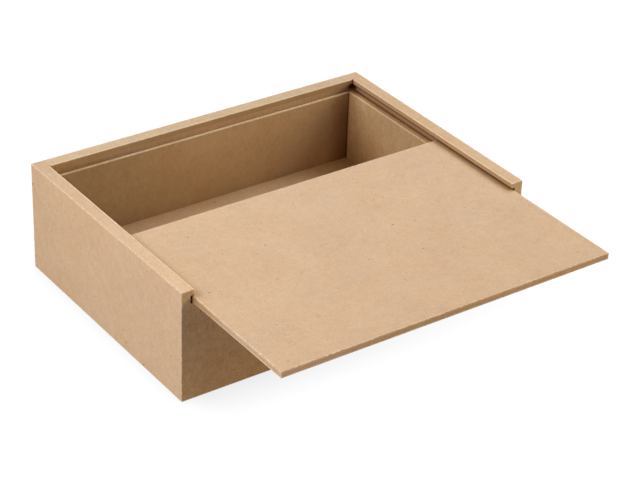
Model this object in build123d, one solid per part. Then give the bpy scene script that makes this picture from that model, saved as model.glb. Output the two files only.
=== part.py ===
from build123d import *
import os

# Sliding lid box in raw MDF, for A4 sheets and keepsakes.
# Millimetres, +Z up, +X to the right, the lid slides out towards -Y.
# Origin: centre of the box on the plane that it stands on.
#
# The box is a frame of four 12 mm boards, a thin base panel let into grooves
# round the bottom, and a lining board on each side wall whose top edge is the
# runner that the lid slides on. A slot is cut round the inside of the side and
# back boards; the front board is lower and stops at the slot's floor, so the
# lid passes over it.

# ---- driving dimensions ----
W = 350.0            # outside width (X)
D = 250.0            # outside depth (Y)
H = 105.0            # outside height of the side and back boards (Z)
T = 12.0             # frame board thickness

LIP = 5.5            # height of wood left above the lid slot
SLOT_H = 6.5         # height of the lid slot
SLOT_D = 3.0         # depth of the lid slot into the boards
LINING_T = 4.0       # thickness of the side linings

BASE_T = 6.0         # base panel thickness
BASE_Z = 16.0        # underside of the base panel above the standing plane
BASE_TONGUE = 5.0    # how far the base panel enters the boards
BASE_GAP = 0.5       # room at the bottom of the base panel's groove

TONGUE_T = 6.0       # corner tongue thickness (Y)
TONGUE_L = 5.0       # corner tongue length (X)
TONGUE_GAP = 0.3     # glue room at the end of each tongue

LID_W = 329.0        # lid size
LID_L = 234.0
LID_T = 6.0
LID_BACK_Y = -17.0   # where the lid's back edge stands, part open

EASE = 0.4           # sanded arris radius on exposed edges

# ---- derived ----
hx, hy = W / 2, D / 2
z_run = H - LIP - SLOT_H          # floor of the slot, top of front board and linings
z_floor = BASE_Z + BASE_T         # inside floor
ix, iy = hx - T, hy - T           # inner faces of the frame boards


def block(x0, x1, y0, y1, z0, z1):
    """Solid box between two corners."""
    return Pos((x0 + x1) / 2, (y0 + y1) / 2, (z0 + z1) / 2) * Box(x1 - x0, y1 - y0, z1 - z0)


def along(edges, axis, tol=1e-3):
    """Straight edges that run along one axis (0 X, 1 Y, 2 Z)."""
    out = []
    for e in edges:
        a, b = e.position_at(0), e.position_at(1)
        d = (abs(a.X - b.X), abs(a.Y - b.Y), abs(a.Z - b.Z))
        if d[axis] > tol and all(d[i] < tol for i in range(3) if i != axis):
            out.append(e)
    return out


# ---- the glued and sanded frame as one outline ----
# Its exposed edges are eased here, and the boards are then cut out of it, so the
# joints between boards stay flush, as they are on a frame sanded after gluing.
outline = block(-hx, hx, -hy, hy, 0, H)
# above the front board and the linings it is open in the middle and in front
outline -= block(-ix, ix, -hy - 1, iy, z_run, H + 1)
# the lid slot: one level cut round the left, back and right boards, open in front
outline -= block(-ix - SLOT_D, ix + SLOT_D, -hy - 1, iy + SLOT_D, z_run, z_run + SLOT_H)


def exposed(e):
    """True for an edge that a hand can touch, so not the corners inside the slot."""
    c = e.center()
    on_side, on_back, on_front = abs(abs(c.X) - hx) < 1e-3, abs(c.Y - hy) < 1e-3, abs(c.Y + hy) < 1e-3
    on_top, on_foot = abs(c.Z - H) < 1e-3, abs(c.Z) < 1e-3
    lip_low = abs(c.Z - z_run - SLOT_H) < 1e-3 and (
        abs(abs(c.X) - ix) < 1e-3 or (abs(c.Y - iy) < 1e-3 and abs(c.X) < 1))
    return on_side or on_back or on_front or on_top or on_foot or lip_low


outline = fillet([e for e in outline.edges() if exposed(e)], radius=EASE)

# groove for the base panel, all round
base_groove = block(-ix - BASE_TONGUE - BASE_GAP, ix + BASE_TONGUE + BASE_GAP,
                    -iy - BASE_TONGUE - BASE_GAP, iy + BASE_TONGUE + BASE_GAP,
                    BASE_Z, BASE_Z + BASE_T)


def housing(sx, y0, y1):
    """Upright groove in a side board that takes the tongue of an end board.
    It stops under the slot, so that no joint shows on the top edge."""
    x0, x1 = sorted((sx * ix, sx * (ix + TONGUE_L + TONGUE_GAP)))
    return block(x0, x1, y0, y1, -1, z_run)


def tongues(board, y0, y1):
    """The board with a tongue on both ends."""
    for sx in (-1, 1):
        x0, x1 = sorted((sx * ix, sx * (ix + TONGUE_L)))
        board += block(x0, x1, y0, y1, 0, z_run)
    return board


# ---- side boards ----
def side_wall(sx):
    x0, x1 = sorted((sx * ix, sx * (hx + 1)))
    b = outline & block(x0, x1, -hy - 1, hy + 1, -1, H + 1)
    b -= housing(sx, -iy - TONGUE_T, -iy)
    b -= housing(sx, iy, iy + TONGUE_T)
    b -= base_groove
    return b


left_wall = side_wall(-1)
right_wall = side_wall(1)

# ---- back board: full height ----
back_wall = outline & block(-ix, ix, iy, hy + 1, -1, H + 1)
back_wall = tongues(back_wall, iy, iy + TONGUE_T)
back_wall -= base_groove
# the slot's lower edge is eased too
arris = [e for e in along(back_wall.edges(), 0)
         if abs(e.center().Y - iy) < 1e-3 and abs(e.center().Z - z_run) < 1e-3 and e.length > ix]
back_wall = fillet(arris, radius=EASE)

# ---- front board: as high as the slot's floor, so that the lid passes over it ----
front_wall = outline & block(-ix, ix, -hy - 1, -iy, -1, z_run)
front_wall = tongues(front_wall, -iy - TONGUE_T, -iy)
front_wall -= base_groove

# ---- base panel ----
base_panel = block(-ix - BASE_TONGUE, ix + BASE_TONGUE,
                   -iy - BASE_TONGUE, iy + BASE_TONGUE, BASE_Z, BASE_Z + BASE_T)


# ---- side linings: stand on the base panel, their top edge carries the lid ----
def lining(sx):
    x0, x1 = sorted((sx * (ix - LINING_T), sx * ix))
    b = block(x0, x1, -iy, iy, z_floor, z_run)
    top = [e for e in along(b.edges(), 1)
           if abs(e.center().Z - z_run) < 1e-3 and abs(abs(e.center().X) - (ix - LINING_T)) < 1e-3]
    return fillet(top, radius=EASE)


left_lining = lining(-1)
right_lining = lining(1)

# ---- lid: plain panel, part open ----
sliding_lid = block(-LID_W / 2, LID_W / 2, LID_BACK_Y - LID_L, LID_BACK_Y, z_run, z_run + LID_T)
sliding_lid = fillet(sliding_lid.edges(), radius=EASE)

nodes = {
    "left_wall": left_wall,
    "right_wall": right_wall,
    "back_wall": back_wall,
    "front_wall": front_wall,
    "base_panel": base_panel,
    "left_lining": left_lining,
    "right_lining": right_lining,
    "sliding_lid": sliding_lid,
}

os.makedirs("parts", exist_ok=True)
for name, shape in nodes.items():
    solids = shape.solids()
    solid = solids[0] if len(solids) == 1 else Compound(children=list(solids))
    solid.label = name
    export_step(solid, f"parts/{name}.step")
    bb = solid.bounding_box()
    print(f"{name:14s} solids {len(solids)}  volume {sum(s.volume for s in solids) / 1000:8.1f} cm3  "
          f"x {bb.min.X:7.1f} {bb.max.X:7.1f}  y {bb.min.Y:7.1f} {bb.max.Y:7.1f}  z {bb.min.Z:6.1f} {bb.max.Z:6.1f}")
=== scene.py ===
import bpy
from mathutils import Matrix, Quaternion, Vector

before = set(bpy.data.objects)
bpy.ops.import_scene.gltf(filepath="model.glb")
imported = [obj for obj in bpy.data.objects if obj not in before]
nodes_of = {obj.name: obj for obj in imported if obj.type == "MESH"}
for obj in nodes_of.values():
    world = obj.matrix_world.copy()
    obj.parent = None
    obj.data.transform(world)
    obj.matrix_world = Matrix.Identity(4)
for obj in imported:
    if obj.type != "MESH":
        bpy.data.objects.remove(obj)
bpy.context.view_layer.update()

# The looks of a sliding lid box in raw MDF. Metres, the same frame as the CAD.
scene = bpy.context.scene


# ---------------------------------------------------------------- node helpers
class Tree:
    """Short calls for building a node tree."""

    def __init__(self, tree):
        self.t = tree
        self.t.nodes.clear()

    def node(self, kind, **props):
        n = self.t.nodes.new(kind)
        for k, v in props.items():
            setattr(n, k, v)
        return n

    def put(self, socket, value):
        if isinstance(value, bpy.types.NodeSocket):
            self.t.links.new(value, socket)
        else:
            socket.default_value = value

    def math(self, op, a, b=None, c=None, clamp=False):
        n = self.node("ShaderNodeMath", operation=op, use_clamp=clamp)
        self.put(n.inputs[0], a)
        if b is not None:
            self.put(n.inputs[1], b)
        if c is not None:
            self.put(n.inputs[2], c)
        return n.outputs[0]

    def add(self, a, b):
        return self.math("ADD", a, b)

    def sub(self, a, b):
        return self.math("SUBTRACT", a, b)

    def mul(self, a, b):
        return self.math("MULTIPLY", a, b)

    def low(self, a, b):
        return self.math("MINIMUM", a, b)

    def high(self, a, b):
        return self.math("MAXIMUM", a, b)

    def vec(self, op, a, b=None, out=0):
        n = self.node("ShaderNodeVectorMath", operation=op)
        self.put(n.inputs[0], a)
        if b is not None:
            if op == "SCALE":
                self.put(n.inputs["Scale"], b)
            else:
                self.put(n.inputs[1], b)
        return n.outputs[out]

    def split(self, v):
        n = self.node("ShaderNodeSeparateXYZ")
        self.put(n.inputs[0], v)
        return n.outputs[0], n.outputs[1], n.outputs[2]

    def join(self, x, y, z):
        n = self.node("ShaderNodeCombineXYZ")
        for i, v in enumerate((x, y, z)):
            self.put(n.inputs[i], v)
        return n.outputs[0]

    def noise(self, at, scale, detail=2.0, rough=0.5, distort=0.0):
        n = self.node("ShaderNodeTexNoise", noise_dimensions="3D", normalize=True)
        self.put(n.inputs["Vector"], at)
        n.inputs["Scale"].default_value = scale
        n.inputs["Detail"].default_value = detail
        n.inputs["Roughness"].default_value = rough
        n.inputs["Distortion"].default_value = distort
        return n.outputs["Fac"]

    def ramp(self, value, lo, hi, to_lo=0.0, to_hi=1.0, smooth=True):
        n = self.node("ShaderNodeMapRange", clamp=True,
                      interpolation_type="SMOOTHSTEP" if smooth else "LINEAR")
        self.put(n.inputs["Value"], value)
        n.inputs["From Min"].default_value = lo
        n.inputs["From Max"].default_value = hi
        n.inputs["To Min"].default_value = to_lo
        n.inputs["To Max"].default_value = to_hi
        return n.outputs["Result"]

    def mix(self, fac, a, b):
        """a to b, for plain numbers."""
        n = self.node("ShaderNodeMix", data_type="FLOAT", clamp_factor=True)
        self.put(n.inputs[0], fac)
        self.put(n.inputs[2], a)
        self.put(n.inputs[3], b)
        return n.outputs[0]

    def middle(self, a, b, c):
        """The second smallest of three: on a block's face, the distance to its nearest arris."""
        return self.high(self.low(a, b), self.low(self.high(a, b), c))

    def plane(self, p, base, x=0.0, y=0.0, z=0.0):
        """base + x, y and z per millimetre."""
        n = self.node("ShaderNodeVectorMath", operation="DOT_PRODUCT")
        self.put(n.inputs[0], p)
        n.inputs[1].default_value = (x, y, z)
        return self.add(n.outputs["Value"], base)

    def specks(self, uv, cell, least, most, seed):
        """Round specks, one in each cell of about that many millimetres, 0 to 1."""
        n = self.node("ShaderNodeTexVoronoi", voronoi_dimensions="2D", feature="F1")
        self.put(n.inputs["Vector"], self.vec("ADD", uv, (seed, seed * 0.37, 0.0)))
        n.inputs["Scale"].default_value = 1.0 / cell
        n.inputs["Randomness"].default_value = 1.0
        d = self.mul(n.outputs["Distance"], cell)
        r, g, _ = self.split(n.outputs["Color"])
        size = self.ramp(self.math("POWER", r, 3.0), 0.0, 1.0, least, most, smooth=False)
        spot = self.ramp(self.sub(d, size), -0.25, 0.25, 1.0, 0.0)
        return self.mul(spot, self.ramp(g, 0.3, 0.9, 0.25, 1.0))


def area(name, at, to, size, colour):
    """A square soft light. colour is in watts for red, green and blue."""
    light = bpy.data.lights.new(name, "AREA")
    light.shape = "SQUARE"
    light.size = size
    top = max(colour)
    light.energy = top
    light.color = [c / top for c in colour]
    o = bpy.data.objects.new(name, light)
    o.location = at
    o.rotation_mode = "QUATERNION"
    o.rotation_quaternion = (Vector(to) - Vector(at)).to_track_quat("-Z", "Y")
    scene.collection.objects.link(o)
    return o


# ---------------------------------------------------------------- camera
cam_data = bpy.data.cameras.new("camera")
cam_data.lens = 118.6934
cam_data.sensor_width = 36.0
cam_data.sensor_fit = "HORIZONTAL"
cam_data.clip_start, cam_data.clip_end = 0.05, 60.0
cam = bpy.data.objects.new("camera", cam_data)
cam.location = (-0.91717, -1.32945, 0.99931)
cam.rotation_mode = "QUATERNION"
cam.rotation_quaternion = Quaternion((0.831761, 0.466919, -0.161632, -0.253051))
scene.collection.objects.link(cam)
scene.camera = cam

# ---------------------------------------------------------------- colour
scene.view_settings.view_transform = "Standard"
scene.view_settings.look = "None"
scene.view_settings.exposure = 0.0
scene.view_settings.gamma = 1.0

# ---------------------------------------------------------------- materials
# Raw MDF. Everything is worked out from object coordinates in millimetres, so that the pattern runs
# on over the flush joints between boards, and so that the lid carries its own with it.
BASE = (0.58, 0.398, 0.263)
CHROMA = (1.0, 1.45, 1.72)     # how much more green and blue vary than red


def box_arris(t, x, y, z, ledge=(0.5, 1.3), rim_gain=0.42):
    """Millimetres to the open arrises of the box's boards, how much paler and how wide each is (partly the eased
    edges' own colour, partly painted highlight), and the same for the creases darkened with painted shade.
    """
    ax = t.math("ABSOLUTE", x)
    outer = t.middle(t.sub(175.0, ax), t.sub(125.0, t.math("ABSOLUTE", y)),
                     t.low(t.math("ABSOLUTE", z), t.math("ABSOLUTE", t.sub(z, 105.0))))
    # the rim: the inner outline, open at the front
    du = t.vec("LENGTH", t.join(t.high(t.sub(ax, 163.0), 0.0), t.high(t.sub(y, 113.0), 0.0), 0.0),
               out="Value")
    rim = t.vec("LENGTH", t.join(du, t.sub(z, 105.0), 0.0), out="Value")
    # the ledge under the slot, which ends at the front board
    dl = t.vec("LENGTH", t.join(t.high(t.sub(ax, 159.0), 0.0), t.high(t.sub(y, 113.0), 0.0), 0.0),
               out="Value")
    step = t.vec("LENGTH", t.join(dl, t.sub(z, 93.0), t.high(t.sub(-112.5, y), 0.0)), out="Value")
    # the side boards' front ends, above the front board
    end = t.vec("LENGTH", t.join(t.sub(ax, 163.0), t.add(y, 125.0), t.low(t.sub(z, 93.5), 0.0)),
                out="Value")
    # the front board's top edge, between the side boards
    dy = t.low(t.math("ABSOLUTE", t.add(y, 125.0)), t.math("ABSOLUTE", t.add(y, 113.0)))
    front = t.vec("LENGTH", t.join(t.high(t.sub(ax, 163.0), 0.0), dy, t.sub(z, 93.0)), out="Value")
    pale = [(t.low(outer, t.low(end, front)), 0.28, 1.3), (rim, rim_gain, 1.3), (step, *ledge)]
    # painted shade: the lip's lower arris, the gap under it and the inner corners, darkened as if in shadow
    tall = t.high(t.high(t.sub(z, 93.0), t.sub(21.0, z)), 0.0)
    nook = t.vec("LENGTH", t.join(t.sub(ax, 159.0), t.sub(y, 113.0), tall), out="Value")
    nook2 = t.vec("LENGTH", t.join(t.sub(ax, 163.0), t.sub(y, 113.0), t.low(t.sub(z, 99.5), 0.0)),
                  out="Value")
    under = t.vec("LENGTH", t.join(t.high(t.sub(ax, 163.0), 0.0), t.sub(z, 99.5),
                                   t.high(t.sub(159.0, ax), t.high(t.sub(y, 113.0), 0.0))), out="Value")
    # painted shade: the inner lower corner of the side slots
    bed = t.vec("LENGTH", t.join(t.sub(ax, 166.0), t.high(t.sub(y, 116.0), 0.0), t.sub(z, 93.0)),
                out="Value")
    # painted shade: the side slots' open ends, near black as if in deep shadow
    out_x = t.high(t.sub(163.3, ax), t.sub(ax, 166.2))
    mouth = t.vec("LENGTH", t.join(t.mul(t.high(out_x, 0.0), 3.0), t.mul(t.high(t.add(y, 125.0), 0.0), 0.15),
                                   t.mul(t.high(t.sub(t.math("ABSOLUTE", t.sub(z, 96.25)), 3.3), 0.0), 3.0)),
                  out="Value")
    dark = [(t.low(nook, nook2), 0.45, 1.6), (under, 0.84, 1.9), (bed, 0.46, 1.0), (mouth, 0.85, 2.0)]
    return pale, dark


def back_arris(t, x, y, z):
    # the ledge under the back slot gets a strong, wide painted highlight
    return box_arris(t, x, y, z, (1.35, 2.0))


def left_arris(t, x, y, z):
    # the rim's painted highlight fades out towards the front
    return box_arris(t, x, y, z, (0.5, 1.3), t.ramp(y, -45.0, 0.0, 0.22, 0.58))


def lid_arris(t, x, y, z):
    """The same for the lid, a plain panel."""
    d = t.middle(t.sub(164.5, t.math("ABSOLUTE", x)), t.low(t.add(y, 251.0), t.sub(-17.0, y)),
                 t.low(t.math("ABSOLUTE", t.sub(z, 93.0)), t.math("ABSOLUTE", t.sub(z, 99.0))))
    return [(d, 0.28, 1.3)], []


def mdf(name, tone, arris, edge_mask, streak, gain=1.6, base=BASE, tint=None):
    """tone gives the board's tone and tint its hue from place to place, much of both painted light and shade;
    edge_mask says where a cut edge shows, and streak scales the layers seen there. gain is how strongly the fibre
    shows."""
    m = bpy.data.materials.new(name)
    m.use_nodes = True
    t = Tree(m.node_tree)
    out = t.node("ShaderNodeOutputMaterial")
    bsdf = t.node("ShaderNodeBsdfPrincipled")
    t.t.links.new(bsdf.outputs[0], out.inputs[0])
    tc = t.node("ShaderNodeTexCoord")
    p = t.vec("SCALE", tc.outputs["Object"], 1000.0)
    x, y, z = t.split(p)
    n = t.vec("ABSOLUTE", tc.outputs["Normal"])
    nx, ny, nz = t.split(n)
    sx, sy, sz = t.split(tc.outputs["Normal"])

    # flat coordinates on each face, for the specks
    gx = t.math("GREATER_THAN", nx, 0.7)
    gz = t.math("GREATER_THAN", nz, 0.7)
    u = t.mix(gx, x, t.add(y, 411.0))
    v = t.mix(gz, z, t.add(y, 733.0))
    uv = t.join(u, v, 0.0)

    # the pressed fibre: large soft blotches, a mottle, wisps and a fine grain
    cloud = t.noise(p, 0.021, 1.5, 0.5)
    hue = t.noise(t.vec("ADD", p, (900.0, 70.0, 310.0)), 0.035, 1.0, 0.5)
    mottle = t.noise(p, 0.12, 3.0, 0.62, 0.4)
    # on upright faces the wisps run a little up and down
    tall = t.join(x, y, t.mul(z, t.mix(nz, 0.4, 1.0)))
    wisp = t.noise(t.vec("ADD", tall, (37.0, 500.0, 11.0)), 0.36, 3.0, 0.6, 1.4)
    grain = t.noise(p, 0.85, 2.0, 0.65)
    edge = edge_mask(t, nx, ny, nz, x, y, z)
    layers = t.noise(t.vec("MULTIPLY", p, streak), 1.0, 2.0, 0.6)

    if callable(gain):
        gain = gain(t, x, y, z)
    shade = t.mul(t.sub(cloud, 0.5), 0.07)
    shade = t.add(shade, t.mul(t.sub(mottle, 0.5), 0.10))
    shade = t.add(shade, t.mul(t.sub(wisp, 0.5), 0.14))
    shade = t.add(shade, t.mul(t.sub(grain, 0.5), 0.20))
    shade = t.add(shade, t.mul(t.mul(t.sub(layers, 0.5), 0.11), edge))
    # pale fibre ends
    shade = t.add(shade, t.mul(t.ramp(grain, 0.64, 0.78), 0.055))
    shade = t.mul(shade, gain)

    # specks of bark: many faint ones and a few strong
    dark = t.high(t.mul(t.specks(uv, 8.0, 0.15, 0.6, 13.0), 0.34),
                  t.mul(t.specks(uv, 38.0, 0.45, 0.95, 71.0), 0.5))
    face = t.sub(1.0, t.mul(edge, 0.5))
    shade = t.sub(shade, t.mul(dark, face))
    light = t.specks(uv, 11.0, 0.2, 0.8, 29.0)
    shade = t.add(shade, t.mul(light, 0.08))

    # arrises eased with paper: paler, a little broken; the pale lines are partly the edges' own colour and partly
    # painted highlight
    pale, painted_crease_shades = arris(t, x, y, z)
    broken = t.ramp(t.noise(t.vec("ADD", p, (5.0, 81.0, 7.0)), 0.42, 2.0, 0.65), 0.4, 0.6, 0.1, 1.0)
    pale_edge_and_highlight = None
    for d, k, wide in pale:
        one = t.mul(t.ramp(d, 0.4, wide, 1.0, 0.0), k)
        one = t.mul(one, broken if k == 0.28 else t.ramp(broken, 0.0, 1.0, 0.65, 1.0))
        pale_edge_and_highlight = one if pale_edge_and_highlight is None else t.high(pale_edge_and_highlight, one)
    shade = t.add(shade, pale_edge_and_highlight)
    level = tone(t, p, x, y, z, sx, sy, sz)
    # painted shade in the creases and slot mouths, browner as it deepens
    painted_crease_shade = None
    for d, k, wide in painted_crease_shades:
        one = t.ramp(d, 0.3, wide, 1.0 - k, 1.0)
        painted_crease_shade = one if painted_crease_shade is None else t.mul(painted_crease_shade, one)

    # rosy to straw
    col = t.node("ShaderNodeCombineColor", mode="RGB")
    swing = t.sub(hue, 0.5)
    fine = t.sub(mottle, 0.5)
    hues = tint(t, x, y, z, sx, sy, sz) if tint else None
    for i, (b, k, f, e) in enumerate(zip(base, (0.05, -0.035, -0.13), (0.0, 0.0, -0.05), CHROMA)):
        c = t.mul(t.math("MULTIPLY_ADD", shade, e, 1.0), b)
        c = t.mul(c, t.add(1.0, t.add(t.mul(swing, k), t.mul(fine, f))))
        # a darker tone is a browner one
        deep = t.math("POWER", t.high(level, 0.02), 1.0 + 0.35 * i) if i else level
        if hues:
            c = t.mul(c, hues[i])
        if painted_crease_shade is not None:
            c = t.mul(c, t.math("POWER", painted_crease_shade, 1.0 + 0.6 * i) if i else painted_crease_shade)
        t.put(col.inputs[i], t.math("MULTIPLY", c, t.low(level, deep) if i else level, clamp=True))
    t.put(bsdf.inputs["Base Color"], col.outputs[0])

    t.put(bsdf.inputs["Roughness"],
          t.add(t.ramp(mottle, 0.3, 0.7, 0.86, 0.76, smooth=False), t.mul(pale_edge_and_highlight, -0.3)))
    # less gloss where the tone is dark or the painted crease shade falls
    dull = level if painted_crease_shade is None else t.low(level, painted_crease_shade)
    t.put(bsdf.inputs["Specular IOR Level"], t.ramp(dull, 0.25, 0.85, 0.03, 0.3))
    bump = t.node("ShaderNodeBump")
    bump.inputs["Strength"].default_value = 0.5
    bump.inputs["Distance"].default_value = 0.00004
    t.put(bump.inputs["Height"], t.add(t.mul(grain, 1.0), t.add(wisp, t.mul(layers, t.mul(edge, 0.8)))))
    t.put(bsdf.inputs["Normal"], bump.outputs["Normal"])
    return m


# Where a cut edge shows: the narrow faces of each board.
def edge_of_side(t, nx, ny, nz, x, y, z):
    return t.high(t.math("GREATER_THAN", nz, 0.7), t.math("GREATER_THAN", ny, 0.7))


def edge_of_cross(t, nx, ny, nz, x, y, z):
    return t.math("GREATER_THAN", nz, 0.7)


def edge_of_lid(t, nx, ny, nz, x, y, z):
    return t.math("LESS_THAN", nz, 0.7)


# Tones: boards from one sheet differ a little. The slopes are painted light: tops fall off from the front left
# towards the back right.
def top_painted_falloff(t, p):
    return t.plane(p, 1.014, -0.00026, -0.00043, 0.0)


def left_top_painted_falloff(t, p):
    return t.plane(p, 1.02, -0.00026, -0.0009, 0.0)


def front_painted_shade(t, x, z):
    # painted shade on the front: darker below the lid, which shadows it, a little lighter above it, and darker
    # towards the foot except by the left end
    foot = t.mix(t.ramp(t.add(x, 175.0), 5.0, 32.0), 1.0, t.ramp(z, 5.0, 62.0, 0.86, 0.98))
    return t.mul(t.ramp(z, 84.0, 99.0, 0.9, 1.03), foot)


def slot_painted_shade(t, x, y, z):
    """Painted shade: darker in the routed slots, and near black where two of them meet."""
    ax = t.math("ABSOLUTE", x)
    deep = t.high(t.sub(ax, 163.0), t.sub(y, 113.0))
    tall = t.math("ABSOLUTE", t.sub(z, 96.25))
    inside = t.mul(t.mul(t.ramp(deep, 0.1, 0.9), t.ramp(deep, 3.1, 3.4, 1.0, 0.0)),
                   t.ramp(tall, 3.2, 3.5, 1.0, 0.0))
    meet = t.vec("LENGTH", t.join(t.sub(ax, 164.0), t.sub(y, 114.5), t.mul(t.sub(z, 96.0), 1.3)),
                 out="Value")
    # only the side slots get this painted shade; the back slot is painted a little lighter, as if its floor
    # catches the light
    side = t.ramp(t.sub(ax, 163.0), 0.1, 0.9)
    k = t.mix(inside, 1.0, t.mix(side, 1.08, 0.76))
    return t.mul(k, t.mix(t.ramp(z, 93.1, 94.6), 1.0, t.ramp(meet, 2.2, 5.6, 0.15, 1.0)))


def box_tone(side, top_plane=top_painted_falloff):
    def tone(t, p, x, y, z, sx, sy, sz):
        top = t.math("GREATER_THAN", sz, 0.7)
        front = t.math("LESS_THAN", y, -124.5)
        rest = t.mix(top, side(t, p, x, y, z, sx, sy, sz), top_plane(t, p))
        return t.mul(t.mix(front, rest, front_painted_shade(t, x, z)), slot_painted_shade(t, x, y, z))
    return tone


def left_side_painted_light(t, p, x, y, z, sx, sy, sz):
    # painted light: the left board lighter towards the front and the top
    return t.plane(p, 1.03, 0.0, -0.00014, 0.0005)


def plain_side(t, p, x, y, z, sx, sy, sz):
    return t.plane(p, 0.98, 0.0, 0.0, 0.0)


def beneath(t, z):
    """1 under the base panel, 0 inside the box."""
    return t.ramp(z, 17.0, 20.0, 1.0, 0.0)


def corner_shade(t, x, y, z):
    """Painted shade: the deep corners inside the box darkened as if they get less light, most low down and by the
    right wall.
    """
    right = t.ramp(t.sub(159.0, x), 0.0, 30.0, 0.5, 1.0)
    high = t.ramp(z, 60.0, 104.0)
    return t.mix(t.high(t.mul(high, 0.7), beneath(t, z)), right, 1.0)


def back_painted_shade(t, p, x, y, z, sx, sy, sz):
    # painted shade on the inner face: the corner shade, and the lip band above the slot a little darker
    inner = t.math("LESS_THAN", sy, -0.7)
    lip = t.ramp(z, 98.0, 100.0, 1.0, 0.89)
    return t.mix(inner, 0.98, t.mul(t.mul(corner_shade(t, x, y, z), 1.0), lip))


def back_painted_shade_tint(t, x, y, z, sx, sy, sz):
    """Painted shade: the inner face's left part is darker, less so in green and blue; the painted highlight on
    its ledge is rosier.
    """
    left = t.mix(t.high(t.ramp(z, 93.0, 100.0), beneath(t, z)),
                 t.ramp(t.add(x, 163.0), 0.0, 170.0, 0.73, 1.0), 0.98)
    k = t.mix(t.math("LESS_THAN", sy, -0.7), 1.0, left)
    ledge = t.ramp(t.math("ABSOLUTE", t.sub(z, 93.2)), 0.6, 1.6, 1.0, 0.0)
    return [t.mul(t.mul(k, t.mul(t.sub(1.0, t.mul(t.sub(1.0, k), -more)), base)), t.mix(ledge, 1.0, far))
            for more, base, far in ((0.0, 1.0, 1.05), (0.2, 1.01, 1.0), (0.35, 1.015, 1.16))]


def lip_shadow_band(t, x, y):
    """1 along the lid's sides, where it runs under the lips and their painted shadow falls."""
    return t.mul(t.ramp(y, -132.0, -122.0), t.ramp(t.math("ABSOLUTE", x), 152.0, 163.0))


def lid_painted_light(t, p, x, y, z, sx, sy, sz):
    # the panel's core shows darker between its pressed faces
    core = t.ramp(t.math("ABSOLUTE", t.sub(z, 96.0)), 0.6, 2.4, 0.87, 1.04)
    # painted light: the cut side edges lighter out in front of the box and darker near it, lighter along their
    # lower arris, and the front edge lighter, most at the left
    side = t.ramp(y, -200.0, -130.0, 1.13, 0.86)
    foot = t.ramp(z, 93.2, 94.2, 1.15, 1.0)
    cut = t.mul(core, t.mix(t.math("LESS_THAN", sy, -0.7), t.mul(side, foot),
                            t.ramp(x, -150.0, -50.0, 1.24, 1.12)))
    # painted shadow where it runs under the lips, and by the left one's end
    lip_shadow = t.mix(lip_shadow_band(t, x, y), 1.0, 0.84)
    lip_end_shadow = t.vec("LENGTH", t.join(t.add(x, 162.0), t.mul(t.add(y, 122.0), 0.7), 0.0), out="Value")
    # painted light on the top, falling off towards the right
    top = t.mul(t.plane(p, 1.035, -0.00027, 0.0, 0.0), t.low(lip_shadow, t.ramp(lip_end_shadow, 1.0, 9.0, 0.8, 1.0)))
    return t.mix(t.math("LESS_THAN", t.math("ABSOLUTE", sz), 0.7), top, cut)


def lid_painted_light_tint(t, x, y, z, sx, sy, sz):
    # hues of the painted light and shade: the front edge greener and bluer, the left side browner near the box,
    # and the lips' painted shadow less green and blue
    front = t.math("LESS_THAN", sy, -0.7)
    side = t.math("LESS_THAN", sx, -0.7)
    near = t.mul(side, t.ramp(y, -180.0, -130.0))
    lip_shadow = t.mul(t.math("GREATER_THAN", sz, 0.7), lip_shadow_band(t, x, y))
    green = t.mul(t.mix(near, 1.0, 0.94), t.mix(lip_shadow, 1.0, 0.94))
    blue = t.mul(t.mix(near, 1.0, 0.8), t.mix(lip_shadow, 1.0, 0.78))
    return (1.0, t.mul(t.mix(front, 1.0, 1.05), green),
            t.mul(t.mix(front, 1.0, t.ramp(x, -150.0, -50.0, 1.38, 1.2)), blue))


def runner(t, z, sz):
    """1 on the side slots' floor and the linings' top edges."""
    return t.mul(t.math("GREATER_THAN", sz, 0.7), t.math("LESS_THAN", z, 94.0))


def runner_tint(t, x, y, z, sx, sy, sz):
    run = runner(t, z, sz)
    return [t.mix(run, 1.0, k) for k in (1.04, 0.96, 0.85)]


def right_tint(t, x, y, z, sx, sy, sz):
    """The right board's cut front end is paler, and its lip is browner."""
    front = t.math("LESS_THAN", y, -124.5)
    inner = t.mul(t.math("LESS_THAN", sx, -0.7), t.math("GREATER_THAN", z, 99.3))
    run = runner(t, z, sz)
    return [t.mul(t.mix(inner, t.mix(front, 1.0, f), k), t.mix(run, 1.0, r))
            for f, k, r in ((1.08, 0.96, 1.04), (1.24, 0.92, 0.96), (1.5, 0.86, 0.85))]


def box_floor_painted_shade(t, p, x, y, z, sx, sy, sz):
    # painted shade: the box's floor darker by the right wall, a little lighter elsewhere
    return t.ramp(x, 128.0, 152.0, 1.09, 0.85)


def lining_painted_shade(t, p, x, y, z, sx, sy, sz):
    # painted shade and light: towards the back corner the foot is darker and the top lighter
    return t.mix(t.ramp(t.sub(113.0, y), 10.0, 62.0), t.ramp(z, 25.0, 92.0, 0.88, 1.16), 1.0)


def front_gain(rest):
    """Fibre shows more in the shaded front than on the other faces."""
    def gain(t, x, y, z):
        return t.mix(t.math("LESS_THAN", y, -124.5), rest, 2.75)
    return gain


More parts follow.
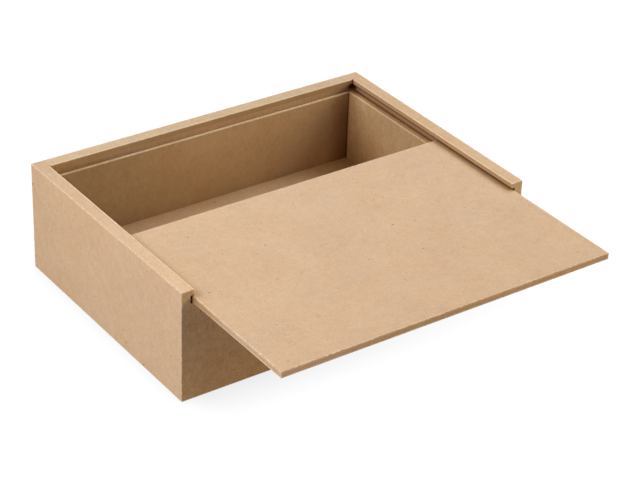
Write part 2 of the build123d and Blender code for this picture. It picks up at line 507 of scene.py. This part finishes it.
ALONG_Y, ALONG_X = (1.3, 0.035, 1.3), (0.035, 1.3, 1.3)
looks = {
    "left_wall": mdf("mdf_left_wall", box_tone(left_side_painted_light, left_top_painted_falloff), left_arris, edge_of_side, ALONG_Y,
                     front_gain(1.7), base=(0.58, 0.4, 0.268), tint=runner_tint),
    "right_wall": mdf("mdf_right_wall", box_tone(plain_side), box_arris, edge_of_side, ALONG_Y,
                      front_gain(1.7), base=(0.574, 0.388, 0.243), tint=right_tint),
    "back_wall": mdf("mdf_back_wall", box_tone(back_painted_shade), back_arris, edge_of_cross, ALONG_X,
                     1.9, base=(0.554, 0.398, 0.263), tint=back_painted_shade_tint),
    "front_wall": mdf("mdf_front_wall", box_tone(plain_side), box_arris, edge_of_cross, ALONG_X, front_gain(1.7)),
    "left_lining": mdf("mdf_left_lining", lining_painted_shade, box_arris, edge_of_cross, ALONG_Y,
                       2.6, base=(0.58, 0.396, 0.232), tint=runner_tint),
    "right_lining": mdf("mdf_right_lining", lining_painted_shade, box_arris, edge_of_cross, ALONG_Y,
                        2.6, base=(0.58, 0.396, 0.232), tint=runner_tint),
    "base_panel": mdf("mdf_base_panel", box_floor_painted_shade, box_arris, edge_of_lid, ALONG_X,
                      base=(0.58, 0.398, 0.247)),
    "sliding_lid": mdf("mdf_sliding_lid", lid_painted_light, lid_arris, edge_of_lid, (0.05, 0.05, 1.5),
                       tint=lid_painted_light_tint),
}
for n, o in nodes_of.items():
    o.data.materials.clear()
    o.data.materials.append(looks[n])

# ---------------------------------------------------------------- stage
mesh = bpy.data.meshes.new("floor")
s = 12.0
mesh.from_pydata([(-s, -s, 0), (s, -s, 0), (s, s, 0), (-s, s, 0)], [], [(0, 1, 2, 3)])
floor = bpy.data.objects.new("floor", mesh)
scene.collection.objects.link(floor)
fm = bpy.data.materials.new("floor_white")
fm.use_nodes = True
t = Tree(fm.node_tree)
out = t.node("ShaderNodeOutputMaterial")
emit = t.node("ShaderNodeEmission")
emit.inputs["Color"].default_value = (1, 1, 1, 1)
# a faint soft shadow where something stands on the floor or hangs over it, strongest by the left
# end of the front and none beside the left board
near = t.node("ShaderNodeAmbientOcclusion", samples=8)
near.inputs["Distance"].default_value = 0.08
place = t.node("ShaderNodeTexCoord")
fx, _, _ = t.split(place.outputs["Object"])
depth = t.mul(t.ramp(fx, -0.2, -0.15), t.ramp(fx, -0.05, 0.2, 1.75, 0.65))
shadow = t.ramp(near.outputs["AO"], 0.3, 0.88, 0.17, 0.0, smooth=False)
t.put(emit.inputs["Strength"], t.sub(1.03, t.mul(shadow, depth)))
# seen from below, the floor isn't there
see = t.node("ShaderNodeBsdfTransparent")
geo = t.node("ShaderNodeNewGeometry")
side = t.node("ShaderNodeMixShader")
t.put(side.inputs[0], geo.outputs["Backfacing"])
t.t.links.new(emit.outputs[0], side.inputs[1])
t.t.links.new(see.outputs[0], side.inputs[2])
t.t.links.new(side.outputs[0], out.inputs[0])
mesh.materials.append(fm)
floor.visible_diffuse = False
floor.visible_glossy = False
floor.visible_shadow = False
floor.location.z = -0.0002

# ---------------------------------------------------------------- lights
AIM = (0, 0, 0.05)
area("key_high_right", (1.6, 0.4, 1.9), AIM, 1.2, (38.9, 42.5, 44.8))
area("high_back", (0.3, 1.6, 1.9), AIM, 1.2, (14.5, 16.8, 18.9))
area("key_left_back", (-1.2, 0.9, 1.0), AIM, 1.0, (9.7, 9.9, 9.8))
area("near_left", (-0.9, 0.1, 0.45), AIM, 0.5, (2.57, 2.15, 1.6))
area("near_left_low", (-0.9, -0.25, 0.12), AIM, 0.3, (1.6, 1.93, 2.35))
area("over", (0, 0, 1.7), AIM, 1.6, (5.0, 3.8, 2.25))
area("front_right", (1.2, -1.4, 0.8), AIM, 1.0, (16.8, 12.9, 7.6))

# Light thrown up by the surroundings below the horizon; the camera sees plain white instead.
world = bpy.data.worlds.new("world")
scene.world = world
world.use_nodes = True
t = Tree(world.node_tree)
out = t.node("ShaderNodeOutputWorld")
tc = t.node("ShaderNodeTexCoord")
sep = t.node("ShaderNodeSeparateXYZ")
t.t.links.new(tc.outputs["Generated"], sep.inputs[0])
down = t.ramp(sep.outputs["Z"], -0.05, 0.05, 1.0, 0.0)
low = t.node("ShaderNodeBackground", name="lower")
low.inputs["Color"].default_value = (1.0, 0.86, 0.6, 1)
t.put(low.inputs["Strength"], t.mul(down, 0.505))
seen = t.node("ShaderNodeBackground", name="seen")
seen.inputs["Color"].default_value = (1, 1, 1, 1)
seen.inputs["Strength"].default_value = 1.0
path = t.node("ShaderNodeLightPath")
pick = t.node("ShaderNodeMixShader")
t.put(pick.inputs[0], path.outputs["Is Camera Ray"])
t.t.links.new(low.outputs[0], pick.inputs[1])
t.t.links.new(seen.outputs[0], pick.inputs[2])
t.t.links.new(pick.outputs[0], out.inputs[0])
